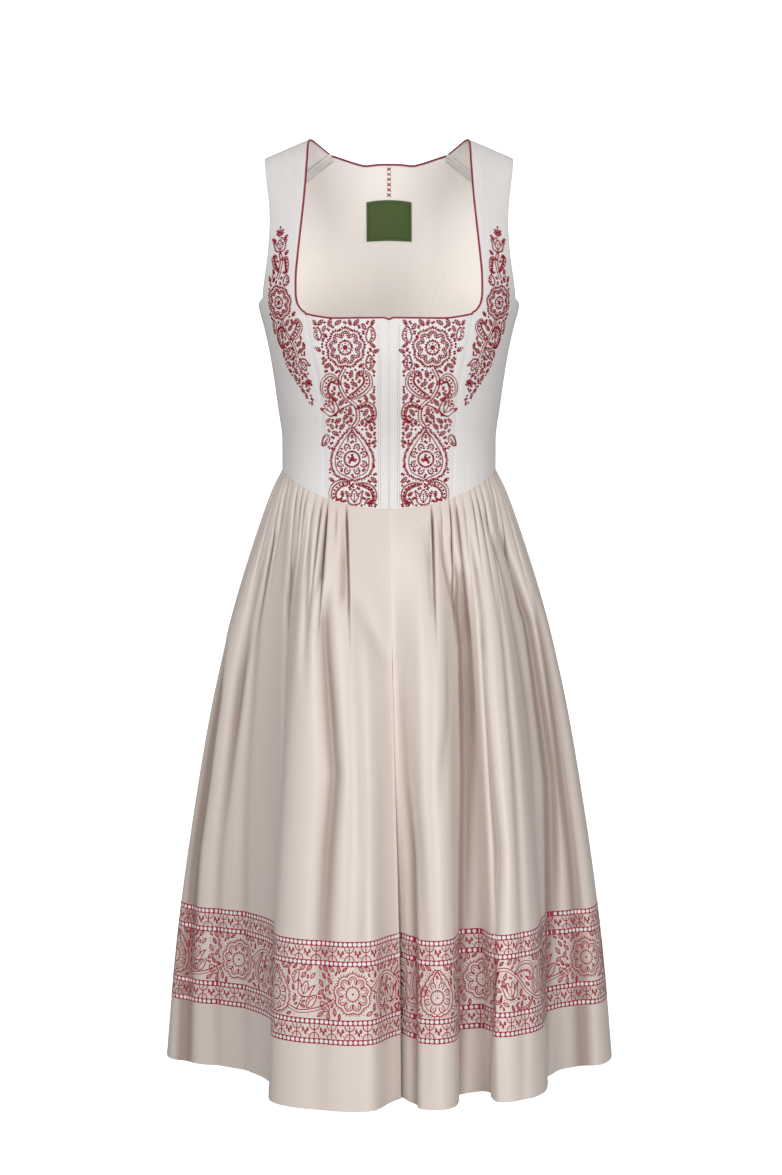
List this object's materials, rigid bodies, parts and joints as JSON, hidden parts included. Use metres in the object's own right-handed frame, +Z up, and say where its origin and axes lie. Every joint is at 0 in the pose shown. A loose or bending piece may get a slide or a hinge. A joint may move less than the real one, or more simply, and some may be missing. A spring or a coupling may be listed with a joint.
{
  "type": "dirndl",
  "caption": "Sleeveless midi dirndl, filled out as worn: piped square neckline, embroidered linen bodice, gathered satin skirt with a printed border band.",
  "frame": {"origin": "midway between the shoulder tops, at their height, where the wearer's shoulders hold the garment", "axes": "+Z up, the front faces -Y, the wearer's left side is +X"},
  "size_m": [0.5275, 0.5109, 1.0744],
  "materials": {
    "linen": "off-white plain-weave linen with crimson embroidery, matt",
    "lining": "cream cotton lining, matt",
    "piping": "crimson satin piping",
    "satin": "champagne cotton satin with a crimson printed band, soft sheen",
    "label": "dark green woven label, bare"
  },
  "bodies": {
    "root": {"bodice_front_center_left": "linen", "bodice_front_center_right": "linen", "bodice_front_side_left": "linen", "bodice_front_side_right": "linen", "bodice_side_left": "linen", "bodice_side_right": "linen", "bodice_back_side_left": "linen", "bodice_back_side_right": "linen", "bodice_back_center": "linen", "lining_back_center": "lining", "lining_back_side_left": "lining", "lining_back_side_right": "lining", "shoulder_seam_left": "linen", "shoulder_seam_right": "linen", "piping_front_left": "piping", "piping_front_right": "piping", "piping_back": "piping", "label": "label", "skirt_front_left_inner": "satin", "skirt_front_left_outer": "satin", "skirt_front_right_inner": "satin", "skirt_front_right_outer": "satin", "skirt_back_left_inner": "satin", "skirt_back_left_outer": "satin", "skirt_back_right_inner": "satin", "skirt_back_right_outer": "satin"}
  },
  "joints": []
}
